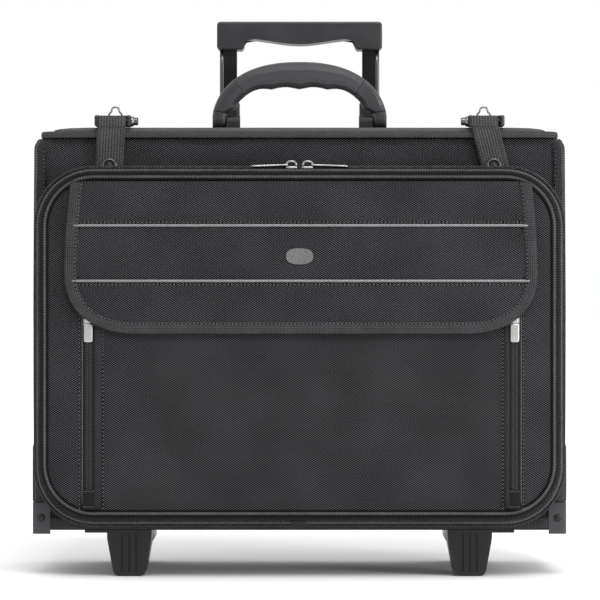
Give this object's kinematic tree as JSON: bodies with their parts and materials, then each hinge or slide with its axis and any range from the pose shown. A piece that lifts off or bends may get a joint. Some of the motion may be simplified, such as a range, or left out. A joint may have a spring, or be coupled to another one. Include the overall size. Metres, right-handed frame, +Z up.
{
  "type": "pilot rolling flight case",
  "caption": "Soft-sided pilot flight case with a hinged padded lid, front organiser pocket, telescoping trolley handle, carry handle, rear wheels and front feet.",
  "frame": {"origin": "on the floor, under the middle of the case's overall width and depth", "axes": "+Z up along the height, +Y towards the back where the wheels and trolley tubes are, +X to the right as seen from the front"},
  "size_m": [0.461, 0.203, 0.4917],
  "materials": {
    "panel_board": "rigid board covered in dark grey nylon",
    "nylon": "dark grey ballistic-weave nylon",
    "padding": "padded nylon over foam",
    "lining_board": "board with grey lining",
    "webbing": "ribbed grey webbing",
    "zip_tape": "nylon coil on woven tape",
    "black_plastic": "moulded black plastic, satin",
    "guard_plastic": "moulded dark grey plastic, fine grain",
    "grip_rubber": "soft-touch rubber",
    "tube_aluminium": "black anodised",
    "chrome": "bright nickel plate",
    "axle_steel": "plain steel",
    "wheel_rubber": "moulded inline wheel"
  },
  "bodies": {
    "case": {"side_board_left": "panel_board", "side_board_right": "panel_board", "front_board": "panel_board", "back_board": "panel_board", "bottom_board": "panel_board", "rear_top_strip": "panel_board", "mouth_frame": "black_plastic", "collar_left": "black_plastic", "collar_right": "black_plastic", "front_foot_left": "black_plastic", "front_foot_right": "black_plastic", "wheel_housing_left": "black_plastic", "wheel_housing_right": "black_plastic", "trolley_base": "tube_aluminium", "trolley_cover": "lining_board", "divider": "padding", "pocket_gusset": "nylon", "pocket_zip": "zip_tape", "corner_guard_left": "guard_plastic", "corner_guard_right": "guard_plastic", "wheel_axle_left": "axle_steel", "wheel_axle_right": "axle_steel"},
    "lid": {"lid_board": "panel_board", "lid_pad": "padding", "handle_base_left": "black_plastic", "handle_base_right": "black_plastic", "lock_body_left": "black_plastic", "lock_body_right": "black_plastic", "hasp_left": "chrome", "hasp_right": "chrome"},
    "carry_handle": {"handle_arm_left": "guard_plastic", "handle_arm_right": "guard_plastic", "handle_grip": "grip_rubber"},
    "lock_button_left": {"lock_button_left": "chrome"},
    "strap_left": {"strap_left": "webbing", "snap_left": "chrome"},
    "lock_button_right": {"lock_button_right": "chrome"},
    "strap_right": {"strap_right": "webbing", "snap_right": "chrome"},
    "pocket": {"pocket_pan": "nylon"},
    "flap": {"pocket_flap": "nylon", "flap_badge": "chrome"},
    "side_slider_left": {"side_slider_left": "chrome"},
    "side_pull_left": {"side_pull_left": "chrome"},
    "top_slider_left": {"top_slider_left": "chrome"},
    "top_pull_left": {"top_pull_left": "chrome"},
    "side_slider_right": {"side_slider_right": "chrome"},
    "side_pull_right": {"side_pull_right": "chrome"},
    "top_slider_right": {"top_slider_right": "chrome"},
    "top_pull_right": {"top_pull_right": "chrome"},
    "trolley_mid": {"mid_tube_left": "tube_aluminium", "mid_tube_right": "tube_aluminium"},
    "trolley_top": {"top_tube_left": "tube_aluminium", "top_tube_right": "tube_aluminium", "trolley_grip": "guard_plastic"},
    "trolley_button": {"trolley_button": "black_plastic"},
    "wheel_left": {"wheel_left": "wheel_rubber"},
    "wheel_right": {"wheel_right": "wheel_rubber"}
  },
  "joints": [
    {"name": "lid_hinge", "type": "hinge", "parent": "case", "child": "lid", "pos_m": [0, 0.058, 0.388], "axis": [-1, 0, 0], "range_deg": [0, 45]},
    {"name": "carry_handle_fold", "type": "hinge", "parent": "lid", "child": "carry_handle", "pos_m": [0, 0, 0.398], "axis": [1, 0, 0], "range_deg": [-80, 80]},
    {"name": "lock_button_left_push", "type": "slide", "parent": "lid", "child": "lock_button_left", "axis": [-1, 0, 0], "range_m": [0, 0.003], "stiffness_N_per_m": 250, "springref_m": -0.001},
    {"name": "strap_left_swing", "type": "hinge", "parent": "lid", "child": "strap_left", "pos_m": [-0.1608, -0.0596, 0.3936], "axis": [-1, 0, 0], "range_deg": [0, 80]},
    {"name": "lock_button_right_push", "type": "slide", "parent": "lid", "child": "lock_button_right", "axis": [1, 0, 0], "range_m": [0, 0.003], "stiffness_N_per_m": 250, "springref_m": -0.001},
    {"name": "strap_right_swing", "type": "hinge", "parent": "lid", "child": "strap_right", "pos_m": [0.1608, -0.0596, 0.3936], "axis": [-1, 0, 0], "range_deg": [0, 80]},
    {"name": "pocket_open", "type": "hinge", "parent": "case", "child": "pocket", "pos_m": [0, -0.078, 0.0468], "axis": [1, 0, 0], "range_deg": [0, 85]},
    {"name": "flap_lift", "type": "hinge", "parent": "pocket", "child": "flap", "pos_m": [0, -0.0983, 0.3398], "axis": [-1, 0, 0], "range_deg": [0, 125]},
    {"name": "side_zip_left_slide", "type": "slide", "parent": "pocket", "child": "side_slider_left", "axis": [0, 0, -1], "range_m": [0, 0.13]},
    {"name": "side_pull_left_lift", "type": "hinge", "parent": "side_slider_left", "child": "side_pull_left", "pos_m": [-0.1796, -0.09755, 0.2182], "axis": [-1, 0, 0], "range_deg": [0, 95]},
    {"name": "top_zip_left_slide", "type": "slide", "parent": "case", "child": "top_slider_left", "axis": [-1, 0, 0], "range_m": [0, 0.15]},
    {"name": "top_pull_left_lift", "type": "hinge", "parent": "top_slider_left", "child": "top_pull_left", "pos_m": [-0.0106, -0.0756, 0.35625], "axis": [0, 1, 0], "range_deg": [0, 120]},
    {"name": "side_zip_right_slide", "type": "slide", "parent": "pocket", "child": "side_slider_right", "axis": [0, 0, -1], "range_m": [0, 0.13]},
    {"name": "side_pull_right_lift", "type": "hinge", "parent": "side_slider_right", "child": "side_pull_right", "pos_m": [0.183, -0.09755, 0.2182], "axis": [-1, 0, 0], "range_deg": [0, 95]},
    {"name": "top_zip_right_slide", "type": "slide", "parent": "case", "child": "top_slider_right", "axis": [1, 0, 0], "range_m": [0, 0.15]},
    {"name": "top_pull_right_lift", "type": "hinge", "parent": "top_slider_right", "child": "top_pull_right", "pos_m": [0.0106, -0.0756, 0.35625], "axis": [0, -1, 0], "range_deg": [0, 120]},
    {"name": "trolley_mid_slide", "type": "slide", "parent": "case", "child": "trolley_mid", "axis": [0, 0, 1], "range_m": [0, 0.28]},
    {"name": "trolley_top_slide", "type": "slide", "parent": "trolley_mid", "child": "trolley_top", "axis": [0, 0, 1], "range_m": [-0.046, 0.25]},
    {"name": "trolley_button_push", "type": "slide", "parent": "trolley_top", "child": "trolley_button", "axis": [0, 0, -1], "range_m": [0, 0.003], "stiffness_N_per_m": 400, "springref_m": -0.001},
    {"name": "wheel_left_spin", "type": "hinge", "parent": "case", "child": "wheel_left", "pos_m": [-0.152, 0.0725, 0.029], "axis": [1, 0, 0], "continuous": true},
    {"name": "wheel_right_spin", "type": "hinge", "parent": "case", "child": "wheel_right", "pos_m": [0.152, 0.0725, 0.029], "axis": [1, 0, 0], "continuous": true}
  ]
}
